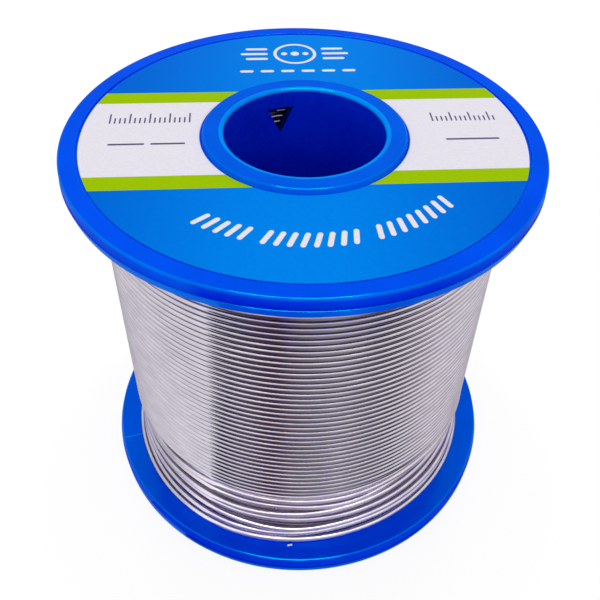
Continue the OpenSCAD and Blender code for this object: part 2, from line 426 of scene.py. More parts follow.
def make_solder(name, greys, smoothest, roughest, metallic, groove_shade=UNSHADED, painted_front_light=False):
    light, dull = greys
    material, tree, shader = new_surface(name, Metallic=metallic, Anisotropic=0.35)
    lines = noise_value(tree, 1.0, detail=2.0, stretch=DIE_LINES, coordinates="UV")
    tarnish = noise_value(tree, 1.0, detail=4.0, stretch=TARNISH, coordinates="UV")
    # painted shade low on the wire's outer side, in the grooves between close turns
    groove_shading = ramp(tree, place_along(tree, "Y", "UV"), (GROOVE_FROM_V, UNSHADED), (GROOVE_TO_V, groove_shade))
    colour = tinted(tree, ramp(tree, tarnish, (0.35, dull), (0.65, light)), groove_shading)
    # painted light: bright at the front of the loose turns and duller round the rest
    if painted_front_light:
        colour = tinted(tree, colour, painted_light_round_spool(tree))
    tree.links.new(colour, shader.inputs["Base Color"])
    tree.links.new(spread(tree, lines, smoothest, roughest), shader.inputs["Roughness"])
    add_bump(tree, shader, lines, 0.0025 * MM)
    tangent = add_node(tree, "ShaderNodeTangent", direction_type="UV_MAP", uv_map="wire")
    tree.links.new(tangent.outputs["Tangent"], shader.inputs["Tangent"])
    shader.inputs["Anisotropic Rotation"].default_value = 0.25
    print("solder:", name)
    return material


solder_bright = make_solder("solder_bright", BRIGHT_GREYS, 0.05, 0.12, 1.0, groove_shade=GROOVE_SHADE)
solder_loose = make_solder("solder_loose", LOOSE_LIT_GREYS, 0.04, 0.09, 0.82, painted_front_light=True)
solder_under_shade = make_solder("solder_under_shade", UNDER_SHADE_GREYS, 0.12, 0.22, 0.9)
solder_shaded = make_solder("solder_shaded", SHADED_GREYS, 0.12, 0.22, 1.0, groove_shade=GROOVE_SHADE)

# %% [markdown]
# Two more materials are seen only at the wire's cut end. The pinched metal there is fresh and has a fine
# matt grain, with no lines of a die, so it gets a plain noise. The rosin in the wire's core is a clear
# brown resin. It could be real glass in the shader, but over so small a spot a smooth brown is enough.

# %% Cut metal and rosin
CUT_GREYS = rgba(0.72, 0.78, 0.78), rgba(0.86, 0.92, 0.92)
ROSIN_BROWNS = rgba(0.32, 0.13, 0.02), rgba(0.62, 0.34, 0.06)


def grainy(tree, shader, scale, detail, colours):
    """Colours a surface by a fine noise, and returns the noise."""
    grain = noise_value(tree, scale, detail)
    colour = ramp(tree, grain, (0.3, colours[0]), (0.7, colours[1]))
    tree.links.new(colour, shader.inputs["Base Color"])
    return grain


solder_cut, cut_tree, cut_shader = new_surface("solder_cut", Metallic=0.6)
cut_grain = grainy(cut_tree, cut_shader, 12000.0, 5.0, CUT_GREYS)
cut_tree.links.new(spread(cut_tree, cut_grain, 0.45, 0.65), cut_shader.inputs["Roughness"])
rosin, rosin_tree, rosin_shader = new_surface("rosin", Roughness=0.15, IOR=1.54)
grainy(rosin_tree, rosin_shader, 9000.0, 3.0, ROSIN_BROWNS)
print("at the cut end:", solder_cut.name, rosin.name)

# %% [markdown]
# ## Turned pieces
#
# The flanges, the hub and the label are round, as pieces from a lathe. A Screw modifier could turn an
# outline, but a mesh built ring by ring gives even faces and lets each face be marked with a material.
# Real mouldings have no knife edges, and a Bevel modifier could round them all alike. Here a helper
# rounds the corners of the outline first, each by its own radius, and those small arcs are what catch
# the light along a rim.

# %% Rounded outlines
ARC_STEPS = 6


def arc_corner(before, corner, after, radius):
    """The points of an arc that rounds one corner of an outline."""
    back = (before - corner).normalized()
    forth = (after - corner).normalized()
    half = back.angle(forth) / 2
    centre = corner + (back + forth).normalized() * (radius / math.sin(half))
    reach = radius / math.tan(half)
    start = corner + reach * back - centre
    swing = start.angle_signed(corner + reach * forth - centre)
    points = []
    for step in range(ARC_STEPS + 1):
        angle = -swing * step / ARC_STEPS
        cosine, sine = math.cos(angle), math.sin(angle)
        turned = Vector((cosine * start.x - sine * start.y, sine * start.x + cosine * start.y))
        points.append(centre + turned)
    return points


def round_outline(corners):
    """A closed outline from corners, each a radius, a height and the rounding of the corner."""
    spots = [Vector(corner[:2]) for corner in corners]
    outline = []
    for index, (spot, corner) in enumerate(zip(spots, corners)):
        if corner[2] > 0:
            outline += arc_corner(spots[index - 1], spot, spots[(index + 1) % len(spots)], corner[2])
        else:
            outline.append(spot)
    return outline


# %% [markdown]
# The outline is then turned about the Z axis. Each finished mesh is smooth but for its sharp edges, and
# a modifier weighs its normals by area, so that the large flat faces stay flat beside the small arcs.


# %% Turning and finishing
def turned_bmesh(corners, steps):
    """Turns a rounded outline about the Z axis. Sizes go in in millimetres and come out in metres."""
    outline = round_outline(corners)
    made = bmesh.new()
    rings = []
    for step in range(steps):
        angle = 2 * math.pi * step / steps
        cosine, sine = math.cos(angle), math.sin(angle)
        rings.append([made.verts.new(Vector((p.x * cosine, p.x * sine, p.y)) * MM) for p in outline])
    for step, ring in enumerate(rings):
        other = rings[(step + 1) % steps]
        for index in range(len(outline)):
            after = (index + 1) % len(outline)
            made.faces.new((ring[index], other[index], other[after], ring[after]))
    bmesh.ops.recalc_face_normals(made, faces=made.faces)
    return made


SHARP_ANGLE = math.radians(38)


def finish_mesh(name, made, *materials):
    """Makes an object from a bmesh, smooth but for its sharp edges, and weighs its normals by area."""
    mesh = bpy.data.meshes.new(name)
    made.to_mesh(mesh)
    made.free()
    mesh.shade_smooth()
    mesh.set_sharp_from_angle(angle=SHARP_ANGLE)
    for material in materials:
        mesh.materials.append(material)
    piece = bpy.data.objects.new(name, mesh)
    scene.collection.objects.link(piece)
    weigh = piece.modifiers.new("weighted_normals", "WEIGHTED_NORMAL")
    weigh.keep_sharp = True
    return piece


def settle(piece, slot, *nodes):
    """Rides a finished piece on the frame, in place of the CAD nodes that it stands for."""
    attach(piece, "root")
    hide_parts(*nodes)
    faces = len(piece.data.polygons)
    print(f"{piece.name}: {faces} faces, stands for {', '.join(nodes)}")


# %% [markdown]
# ## The flanges
#
# The flanges are the round ends that hold the wire in. Both have one outline. It runs from the hub along
# the floor of the label's recess, over a low step to the plain ring, round the rim's soft edge, and down
# the outer band to a narrow ledge, where the two halves of the mould met. Below the ledge the rim is
# drawn in a little, so that the moulding leaves its mould, and ends in a fine chamfer.
#
# Each flange could be made by itself, but one list of corners serves both: it counts depth inward from
# the rim's face, down in the upper flange and up in the lower one. The lower rim's edge is the sharper.

# %% Flange outline
HUB_R = 11.7
RIM_BAND_H = 1.6
RIM_STEP = 0.1
RIM_DRAFT = 0.28
RECESS_R = FLANGE_R - 2.15
RECESS_DEPTH = 0.2
RECESS_ROUND = 0.08
LEDGE_FALL = 0.04
LEDGE_ROUND = 0.02
FOOT_ROUND = 0.03
FOOT_W, FOOT_H = 0.18, 0.05
UPPER_EDGE_ROUND = 0.3
LOWER_EDGE_ROUND = 0.1


def flange_corners(edge_round, face_z, inward):
    """The corners of a flange's section. inward is +1 where depth under the face counts upward."""
    band_r = FLANGE_R - RIM_STEP
    inner_r = FLANGE_R - RIM_DRAFT
    thickness = RIM_HIGH_Z - GAP_HIGH_Z
    return [
        (HUB_R, face_z + inward * thickness, 0),
        (HUB_R, face_z + inward * RECESS_DEPTH, 0),
        (RECESS_R, face_z + inward * RECESS_DEPTH, 0),
        (RECESS_R, face_z, RECESS_ROUND),
        (band_r, face_z, edge_round),
        (band_r, face_z + inward * RIM_BAND_H, LEDGE_ROUND),
        (FLANGE_R, face_z + inward * (RIM_BAND_H + LEDGE_FALL), LEDGE_ROUND),
        (inner_r, face_z + inward * (thickness - FOOT_H), FOOT_ROUND),
        (inner_r - FOOT_W, face_z + inward * thickness, FOOT_ROUND),
    ]


lower_corners = flange_corners(LOWER_EDGE_ROUND, RIM_LOW_Z, 1)
print(f"flange section: {len(lower_corners)} corners, {RIM_HIGH_Z - GAP_HIGH_Z:.2f} mm thick")

# %% [markdown]
# A fine raised line crosses the inner face of each flange, where the side slides of the mould met. A
# bump map could hint at it, but it stands up enough to catch the light, so it is a low ridge from the
# winding to the rim. A little plastic squeezed into that joint is called flash. It is thin, and its
# lighter blue is a painted highlight.

# %% Mould lines
# places in a flange's list of materials, where 0 is the plain face
EDGE, MOULD_LINE, BAND = 1, 2, 3
MOULD_LINE_TURN = -160.6
MOULD_LINE_HALF_W = 0.12
MOULD_LINE_H = 0.08
MOULD_LINE_SINK = 0.02


def add_mould_line(made, turn, face_z, side):
    """Adds a low ridge along a spoke of a flange's inner face. side is +1 on a face that looks up."""
    foot, top = MOULD_LINE_HALF_W, MOULD_LINE_HALF_W / 3
    section = [(-foot, -MOULD_LINE_SINK), (-top, MOULD_LINE_H), (top, MOULD_LINE_H), (foot, -MOULD_LINE_SINK)]
    spoke = Matrix.Rotation(math.radians(turn), 3, "Z")
    ends = []
    for reach in (CORE_R - 1, FLANGE_R - RIM_DRAFT - FOOT_W):
        corners = [Vector((reach, y, face_z + side * z)) for y, z in section]
        ends.append([made.verts.new(spoke @ corner * MM) for corner in corners])
    faces = [made.faces.new(ends[0][::-1]), made.faces.new(ends[1])]
    for index in range(len(section)):
        after = (index + 1) % len(section)
        faces.append(made.faces.new((ends[0][index], ends[0][after], ends[1][after], ends[1][index])))
    # the ridge takes the flash's painted highlight
    for face in faces:
        face.material_index = MOULD_LINE


print(f"mould lines: {2 * MOULD_LINE_HALF_W:.2f} mm wide and {MOULD_LINE_H} mm high")

# %% [markdown]
# The rounded edges take a painted highlight, lighter than the faces they join. They could be picked by
# hand, but a rule is safer. The height of a face's normal tells how the face leans: 1 is level and 0 is
# upright. What is neither level nor nearly upright is an edge, and an upright face far out is the rim's
# band, with its painted shade and highlight. On the lower flange a face that looks up has to lean further
# before it counts as an edge.

# %% Edges and bands
LEVEL = 0.966
UPRIGHT = 0.1
UPPER_PLAIN_LEANS = (-0.12, 0.12)
LOWER_PLAIN_LEANS = (-0.12, 0.5)
BAND_FROM_R = FLANGE_R - 0.3


def mark_edges(made, plain_leans):
    """Gives a flange's faces the painted highlight of its edges and the painted light of its band."""
    for face in made.faces:
        lean = face.normal.z
        # edges get a painted highlight, the band its painted shade and highlight
        if abs(lean) < LEVEL and not plain_leans[0] < lean < plain_leans[1]:
            face.material_index = EDGE
        elif abs(lean) < UPRIGHT and face.calc_center_median().xy.length > BAND_FROM_R * MM:
            face.material_index = BAND


print(f"the band of a rim lies beyond {BAND_FROM_R:.2f} mm")

# %% [markdown]
# Each flange is turned, marked, and given its two mould lines, half a turn apart. A mirrored copy of one
# could serve as the other, but the two rims differ in their outer edge and in their band. So a function
# makes both, and each gets its own values.

# %% Build the flanges
FLANGE_STEPS = 360


def make_flange(name, edge_round, plain_leans, face_z, inner_z, inward, band):
    made = turned_bmesh(flange_corners(edge_round, face_z, inward), FLANGE_STEPS)
    mark_edges(made, plain_leans)
    for turn in (MOULD_LINE_TURN, MOULD_LINE_TURN + 180):
        add_mould_line(made, turn, inner_z, inward)
    bmesh.ops.recalc_face_normals(made, faces=made.faces)
    return finish_mesh(name, made, flange_plastic, edge_highlight_plastic, flash_highlight_plastic, band)


upper_flange = make_flange(
    "spool_upper_flange", UPPER_EDGE_ROUND, UPPER_PLAIN_LEANS, RIM_HIGH_Z, GAP_HIGH_Z, -1, upper_band_painted
)
lower_flange = make_flange(
    "spool_lower_flange", LOWER_EDGE_ROUND, LOWER_PLAIN_LEANS, RIM_LOW_Z, GAP_LOW_Z, 1, lower_band_painted
)
settle(upper_flange, "spool_plastic", "top_flange")
settle(lower_flange, "spool_plastic", "bottom_flange")

# %% [markdown]
# ## The hub
#
# The hub is a tube that runs on the dispenser's spindle, with a raised collar at each mouth. Cylinders
# could be joined and bored, but a tube is turned from one closed outline as easily as a flange. Two
# rings of points frame the place of the window, so that the long plain wall keeps its even faces when
# the window is cut.

# %% Hub outline
BORE_R = 10.1
COLLAR_TOP_R = COLLAR_FOOT_R - 0.35
COLLAR_ROUND = 0.25
MOUTH_ROUND = 0.4
MOUTH_RIM = 0.6
WINDOW_W = 3.6
WINDOW_H = 3.8
WINDOW_TOP_Z = GAP_HIGH_Z + 0.5
WINDOW_LOW_Z = WINDOW_TOP_Z - WINDOW_H
WINDOW_FRAME = 0.5


def hub_corners():
    low_foot_z = RIM_LOW_Z + RECESS_DEPTH
    top_foot_z = RIM_HIGH_Z - RECESS_DEPTH
    return [
        (BORE_R, 0, MOUTH_ROUND),
        (BORE_R + MOUTH_RIM, 0, 0),
        (COLLAR_TOP_R, 0, COLLAR_ROUND),
        (COLLAR_FOOT_R, low_foot_z, 0),
        (HUB_R, low_foot_z, 0),
        (HUB_R, WINDOW_LOW_Z - WINDOW_FRAME, 0),
        (HUB_R, WINDOW_TOP_Z + WINDOW_FRAME, 0),
        (HUB_R, top_foot_z, 0),
        (COLLAR_FOOT_R, top_foot_z, 0),
        (COLLAR_TOP_R, SPOOL_H, COLLAR_ROUND),
        (BORE_R + MOUTH_RIM, SPOOL_H, 0),
        (BORE_R, SPOOL_H, MOUTH_ROUND),
        (BORE_R, WINDOW_TOP_Z + WINDOW_FRAME, 0),
        (BORE_R, WINDOW_LOW_Z - WINDOW_FRAME, 0),
    ]


print(f"hub: bore {BORE_R} mm, wall {HUB_R - BORE_R:.1f} mm")

# %% [markdown]
# The bore is the dull plastic with a painted shade. Its rounded mouths and the thin rings beside them take
# the lightest one, a painted highlight, and the collars have their own painted light, with a painted
# highlight on their edges. As on the flanges, the faces are sorted by where they lie and how they lean.

# %% Turn the hub
HUB_STEPS = 240
STEEP_EDGE = 0.5
# places in the hub's list of materials, where 0 is the bore
MOUTH_HIGHLIGHT, COLLAR, COLLAR_EDGE, WINDOW = 1, 2, 3, 4
tube = turned_bmesh(hub_corners(), HUB_STEPS)
# collars get painted light, their edges and the bore's mouths a painted highlight
for face in tube.faces:
    rise = abs(face.normal.z)
    if face.calc_center_median().xy.length / MM > BORE_R + MOUTH_RIM:
        face.material_index = COLLAR_EDGE if STEEP_EDGE < rise < LEVEL else COLLAR
    elif rise > UPRIGHT:
        face.material_index = MOUTH_HIGHLIGHT
hub_plastics = (bore_shaded_plastic, flash_highlight_plastic, collar_lit_plastic, edge_highlight_plastic, painted_shade_plastic)
hub = finish_mesh("spool_hub", tube, *hub_plastics)
print(f"{hub.name}: {len(hub.data.polygons)} faces before the cut")

# %% [markdown]
# Just below the upper flange the hub's wall has a three-cornered window, in which the wire's first turns
# can be seen. The tube could be modelled round the hole by hand, but a boolean cuts it cleanly. Its
# cutter is a prism, long enough to go right through the wall.

# %% Window cutter
WINDOW_TURN = 111.0
WINDOW_REACH = (BORE_R - 2, HUB_R + 2)


def window_cutter():
    """A three-cornered prism that points down and goes through the hub's wall."""
    spoke = Matrix.Rotation(math.radians(WINDOW_TURN), 3, "Z")
    corners = [(-WINDOW_W / 2, WINDOW_TOP_Z), (WINDOW_W / 2, WINDOW_TOP_Z), (0, WINDOW_LOW_Z)]
    made = bmesh.new()
    ends = []
    for reach in WINDOW_REACH:
        ends.append([made.verts.new(spoke @ Vector((reach, y, z)) * MM) for y, z in corners])
    for index in range(3):
        after = (index + 1) % 3
        made.faces.new((ends[0][index], ends[0][after], ends[1][after], ends[1][index]))
    made.faces.new(ends[0])
    made.faces.new(ends[1][::-1])
    bmesh.ops.recalc_face_normals(made, faces=made.faces)
    mesh = bpy.data.meshes.new("window_cutter")
    made.to_mesh(mesh)
    made.free()
    cutter = bpy.data.objects.new("window_cutter", mesh)
    scene.collection.objects.link(cutter)
    return cutter


cutter = window_cutter()
print(f"window: {WINDOW_W} by {WINDOW_H} mm, top at {WINDOW_TOP_Z:.2f} mm")

# %% [markdown]
# The boolean has to come before the weighing of the normals, so the two modifiers swap places. Their
# result then replaces the hub's mesh, because its new faces still have to be given their plastic.

# %% Cut the window
cut = hub.modifiers.new("window", "BOOLEAN")
cut.operation = "DIFFERENCE"
cut.solver = "EXACT"
cut.object = cutter
hub.modifiers.move(0, 1)
bpy.context.view_layer.update()
cut_mesh = bpy.data.meshes.new_from_object(hub.evaluated_get(bpy.context.evaluated_depsgraph_get()))
hub.modifiers.clear()
hub.data = cut_mesh
hub.data.name = "spool_hub"
bpy.data.objects.remove(cutter)
print(f"{hub.name}: {len(cut_mesh.polygons)} faces after the cut")

# %% [markdown]
# The faces that the cut left are the window's own walls, and they take the darkest blue, a painted
# shade. The cut also left long thin faces in the bore, and their normals would show as streaks. Every
# normal on the bore's wall is therefore set to point straight at the axis, as on a true round.

# %% Finish the hub
WALL_MARGIN = 0.05
BORE_MARGIN = 0.004
MOUTH_DEPTH = 1.0
for face in cut_mesh.polygons:
    reach, height = face.center.xy.length / MM, face.center.z / MM
    in_wall = BORE_R + WALL_MARGIN < reach < HUB_R - WALL_MARGIN
    if in_wall and WINDOW_LOW_Z < height < WINDOW_TOP_Z + WALL_MARGIN:
        # painted shade on the window's walls
        face.material_index = WINDOW
wall_normals = []
for loop in cut_mesh.loops:
    spot = cut_mesh.vertices[loop.vertex_index].co
    around = Vector((spot.x, spot.y, 0.0))
    on_bore = abs(around.length / MM - BORE_R) < BORE_MARGIN
    on_wall = on_bore and MOUTH_DEPTH < spot.z / MM < SPOOL_H - MOUTH_DEPTH
    wall_normals.append(-around.normalized() if on_wall else cut_mesh.corner_normals[loop.index].vector)
cut_mesh.normals_split_custom_set(wall_normals)
settle(hub, "spool_plastic", "hub")

# %% [markdown]
# ## The label
#
# The label is a ring of printed paper in the recess of the upper flange, with a fine gap round it. It
# could be a disc with an image texture. Here it is turned like the flanges and then cut along four
# straight lines, which part its fields of blue, green and white, so that every border is crisp. The
# label was stuck on six degrees askew, and everything printed on it turns with it.

# %% Cut the label's fields
LABEL_STEPS = 288
LABEL_TURN = math.radians(6.0)
LABEL_HOLE_R = COLLAR_FOOT_R + 0.12
PAPER_R = LABEL_R - 0.20
PAPER_ROUND = 0.03
BAND_EDGES = (10.47, 7.81, -8.65, -11.28)
BLUE, GREEN, WHITE, GREY = range(4)
LABEL_CORNERS = [
    (LABEL_HOLE_R, LABEL_LOW_Z, 0),
    (PAPER_R, LABEL_LOW_Z, 0),
    (PAPER_R, LABEL_HIGH_Z, PAPER_ROUND),
    (LABEL_HOLE_R, LABEL_HIGH_Z, PAPER_ROUND),
]


def field_of(height):
    """The ink of the label's field at a distance from the middle, across the bands."""
    if height > BAND_EDGES[0] or height < BAND_EDGES[3]:
        return BLUE
    if height > BAND_EDGES[1] or height < BAND_EDGES[2]:
        return GREEN
    return WHITE


across = Vector((-math.sin(LABEL_TURN), math.cos(LABEL_TURN), 0.0))
paper = turned_bmesh(LABEL_CORNERS, LABEL_STEPS)
for edge in BAND_EDGES:
    everything = list(paper.verts) + list(paper.edges) + list(paper.faces)
    bmesh.ops.bisect_plane(paper, geom=everything, dist=1e-7, plane_co=across * edge * MM, plane_no=across)
for face in paper.faces:
    face.material_index = field_of(face.calc_center_median().dot(across) / MM)
print("label faces after the cuts:", len(paper.faces))

# %% [markdown]
# The printed marks are plain ones. They could be text objects, but they say nothing, so bars and rings
# are enough. Each is a thin plate of ink that stands just above the paper, made from an outline.

# %% Helpers for the marks
INK_T = 0.012


def add_plate(made, outline, ink):
    """Adds a thin plate of ink on the label. The outline is in millimetres, along the label's bands."""
    spin = Matrix.Rotation(LABEL_TURN, 3, "Z")
    rings = []
    for z in (LABEL_HIGH_Z - PAPER_ROUND / 2, LABEL_HIGH_Z + INK_T):
        rings.append([made.verts.new(spin @ Vector((x, y, z)) * MM) for x, y in outline])
    faces = [made.faces.new(rings[1])]
    for index in range(len(outline)):
        after = (index + 1) % len(outline)
        faces.append(made.faces.new((rings[0][index], rings[0][after], rings[1][after], rings[1][index])))
    for face in faces:
        face.material_index = ink


def bar(x, y, length, width, lean=0.0):
    """Outline of a bar with round ends. Its length lies along x, turned by lean."""
    points = []
    straight = (length - width) / 2
    for end, start in ((1, -90), (-1, 90)):
        for step in range(7):
            angle = math.radians(start + 30 * step)
            points.append((end * straight + width / 2 * math.cos(angle), width / 2 * math.sin(angle)))
    cosine, sine = math.cos(lean), math.sin(lean)
    return [(x + cosine * px - sine * py, y + sine * px + cosine * py) for px, py in points]


def add_ring(made, x, y, outer, inner, ink, steps=48):
    """Adds a printed ring as two half rings."""
    for start in (0, 180):
        angles = [math.radians(start + 180 * step / (steps // 2)) for step in range(steps // 2 + 1)]
        outline = [(x + outer * math.cos(a), y + outer * math.sin(a)) for a in angles]
        outline += [(x + inner * math.cos(a), y + inner * math.sin(a)) for a in reversed(angles)]
        add_plate(made, outline, ink)


# %% [markdown]
# On the blue at the back stands the end of a wire with several cores, a ring round three dots, between
# short bars and above a row of dashes.

# %% Marks at the back
EMBLEM_Y = 21.3
for x, size in ((0.0, 0.62), (1.55, 0.45), (-1.55, 0.45)):
    add_ring(paper, x, EMBLEM_Y, size, 0.02, WHITE, 24)
add_ring(paper, 0.0, EMBLEM_Y, 3.1, 2.65, WHITE)
for side in (-1, 1):
    for row, length in ((-1, 3.2), (0, 3.9), (1, 3.2)):
        add_plate(paper, bar(side * (3.9 + length / 2), EMBLEM_Y + 1.5 * row, length, 0.6), WHITE)
for index in range(6):
    add_plate(paper, bar(-7.0 + 2.86 * index, 16.1, 1.9, 0.62), WHITE)
print("faces with the marks at the back:", len(paper.faces))

# %% [markdown]
# The white field has a scale with ticks on each side, every fourth one longer, and a few ruled lines
# below them. Loops place the ticks, as they all keep one distance.

# %% Marks on the white
TICK_STEP = 0.62
TICK_W = 0.2
RULE_W = 0.34
SCALES = [
    # how many ticks, where the first one stands, the foot of all, and the long and the short height
    (17, -24.3, 2.9, 2.3, 1.3),
    (14, 16.6, 2.2, 2.1, 1.2),
]
for count, first_x, foot_y, long_h, short_h in SCALES:
    for index in range(count):
        height = long_h if index % 4 == 0 else short_h
        tick = bar(first_x + TICK_STEP * index, foot_y + height / 2, height, TICK_W, math.pi / 2)
        add_plate(paper, tick, GREY)
for x_from, x_to, y in ((-24.0, -19.6, -1.9), (-18.9, -14.7, -1.9), (17.4, 24.2, -2.1)):
    add_plate(paper, bar((x_from + x_to) / 2, y, x_to - x_from, RULE_W), GREY)
print("ticks:", sum(scale[0] for scale in SCALES))

# %% [markdown]
# An arc of leaning bars in three groups runs along the front of the label. With the last mark printed,
# the paper becomes an object with its four inks.

# %% Marks at the front
ARC_R = 20.9
ARC_GROUPS = ((-126.5, 5), (-105.0, 8), (-71.5, 8))
BAR_PITCH = math.degrees(1.36 / ARC_R)
BAR_LEAN = math.radians(16)
for group_turn, count in ARC_GROUPS:
    for index in range(count):
        spoke = math.radians(group_turn + BAR_PITCH * index)
        x, y = ARC_R * math.cos(spoke), ARC_R * math.sin(spoke)
        add_plate(paper, bar(x, y, 2.5, 0.62, spoke - BAR_LEAN), WHITE)

bmesh.ops.recalc_face_normals(paper, faces=paper.faces)
label = finish_mesh("printed_label", paper, ink_blue, ink_green, ink_white, ink_grey)
settle(label, "label_film", "top_label")

# %% [markdown]
# ## The wire
#
# A wire is a round tube along a path. A curve object with a bevel could draw it, but the solder's die
# lines need a UV map that follows the wire, and some turns need a material of their own. So a helper
# sets a ring of points square to the path at each of its points. The wire has tens of thousands of
# them, and arrays place them all at once.


# %% Rings along a path
def rings_along(path, radius, sides):
    """Rings of points, square to a path. Path and result are arrays in millimetres."""
    ahead = np.gradient(path, axis=0)
    ahead /= np.linalg.norm(ahead, axis=1, keepdims=True)
    side = np.cross(ahead, (0.0, 0.0, 1.0))
    side /= np.linalg.norm(side, axis=1, keepdims=True)
    above = np.cross(side, ahead)
    angles = 2 * math.pi * np.arange(sides) / sides
    spokes = np.cos(angles)[:, None, None] * side + np.sin(angles)[:, None, None] * above
    return (path + radius * spokes).transpose(1, 0, 2)


# %% [markdown]
# The rings are joined into walls and the two ends are closed. In the map, U grows by 100 for each metre
# of wire, and V goes once round it.

# %% Tube helper
U_PER_M = 100.0
WIRE_SHARP_ANGLE = math.radians(60)


def tube_object(name, path, radius, sides, *materials, change_at=None):
    """A closed tube along a path, with U along the wire and V round it.

    From the ring change_at on, its walls take the second material."""
    rings = rings_along(path, radius, sides)
    count = len(path)
    ring_of, corner_of = np.divmod(np.arange((count - 1) * sides), sides)
    after = (corner_of + 1) % sides
    here = ring_of * sides
    walls = np.stack((here + corner_of, here + after, here + sides + after, here + sides + corner_of), 1)
    caps = [list(range(sides))[::-1], list(range((count - 1) * sides, count * sides))]
    mesh = bpy.data.meshes.new(name)
    mesh.from_pydata((rings.reshape(-1, 3) * MM).tolist(), [], walls.tolist() + caps)
    length = np.concatenate(([0.0], np.cumsum(np.linalg.norm(np.diff(path, axis=0), axis=1)))) * MM
    u = length * U_PER_M
    wall_u = np.stack((u[ring_of], u[ring_of], u[ring_of + 1], u[ring_of + 1]), 1)
    wall_v = np.stack((corner_of, corner_of + 1, corner_of + 1, corner_of), 1) / sides
    wall_uv = np.stack((wall_u, wall_v), 2).reshape(-1)
    cap_uv = np.zeros(4 * sides)
    mesh.uv_layers.new(name="wire").data.foreach_set("uv", np.concatenate((wall_uv, cap_uv)))
    mesh.shade_smooth()
    mesh.set_sharp_from_angle(angle=WIRE_SHARP_ANGLE)
    for material in materials:
        mesh.materials.append(material)
    if change_at is not None:
        slots = np.concatenate((ring_of >= change_at, (False, True))).astype(np.int32)
        mesh.polygons.foreach_set("material_index", slots)
    piece = bpy.data.objects.new(name, mesh)
    scene.collection.objects.link(piece)
    print(f"{name}: {length[-1]:.2f} m of wire in {len(mesh.polygons)} faces")
    return piece


# %% [markdown]
# ### The inner layers
#
# A real spool holds many layers of wire. All could be drawn, but only two below the outer one can be
# seen: the first one, through the window in the hub, and the last one, in the gaps of the outer layer.
# So only these two are drawn, as helixes.

# %% Paths of the inner layers
WIRE_R = 0.4
WIRE_SIDES = 12
PITCH = 0.933
FIRST_PITCH = 0.87
FIRST_LAYER_R = HUB_R + WIRE_R
FIRST_SEEN_Z = 51.66
LAST_LAYER_R = CORE_R - WIRE_R * 0.2
LAST_TOP_GAP, LAST_LOW_GAP = 1.9, 1.3


def round_the_axis(turn, radius, height):
    """Points round the Z axis from arrays of angles in degrees, radii and heights."""
    angle = np.radians(turn)
    return np.stack((radius * np.cos(angle), radius * np.sin(angle), height + 0 * angle), 1)


def helix(radius, z_from, z_to, pitch, turn_at_from, rings_a_turn):
    """A helix that goes down as its angle falls."""
    turns = (z_from - z_to) / pitch
    step = np.linspace(0.0, turns, int(turns * rings_a_turn) + 1)
    return round_the_axis(turn_at_from - 360 * step, radius, z_from - pitch * step)


first_path = helix(FIRST_LAYER_R, FIRST_SEEN_Z, GAP_LOW_Z + WIRE_R, FIRST_PITCH, WINDOW_TURN, 64)
last_path = helix(LAST_LAYER_R, GAP_HIGH_Z - LAST_TOP_GAP, GAP_LOW_Z + LAST_LOW_GAP, PITCH, 60.0, 96)
print("points along the first and the last inner layer:", len(first_path), len(last_path))

# %% [markdown]
# A plain turned body fills the space between the two helixes, so that nobody can look between the turns
# into an empty spool. The three are joined into one piece, since they stand for one node.

# %% Build the inner layers
FILL_LOW_R = FIRST_LAYER_R + WIRE_R * 0.4
FILL_HIGH_R = CORE_R - WIRE_R * 1.3
fill_corners = [
    (FILL_LOW_R, GAP_LOW_Z, 0),
    (FILL_HIGH_R, GAP_LOW_Z, 0),
    (FILL_HIGH_R, GAP_HIGH_Z, 0),
    (FILL_LOW_R, GAP_HIGH_Z, 0),
]
# painted shade: the first layer and the fill are the darkest, the last inner layer a little lighter
inner = tube_object("inner_layers", first_path, WIRE_R, WIRE_SIDES, solder_shaded)
last_layer = tube_object("last_inner_layer", last_path, WIRE_R, WIRE_SIDES, solder_under_shade)
fill = finish_mesh("inner_fill", turned_bmesh(fill_corners, 120), solder_shaded)
fill.modifiers.clear()
bpy.ops.object.select_all(action="DESELECT")
with bpy.context.temp_override(
    active_object=inner, object=inner, selected_editable_objects=[inner, last_layer, fill]
):
    bpy.ops.object.join()
settle(inner, "solder", "inner_winding")

# %% [markdown]
# ### The outer layer
#
# The outer layer is one unbroken wire. It climbs out of the layer below at the upper flange, lies in
# forty even turns, and then in ten looser ones that bow outwards and leave gaps, as where a winding
# machine stops and lets go. The even turns follow a rule. The loose ones could be shaken by a noise, but
# each lies as it fell, and crossing wires would show. So they are two tables: a row is one turn, and a
# column is a spoke, as far as that into the turn. The first table holds heights, the second one how far
# the wire stands out from the even turns.

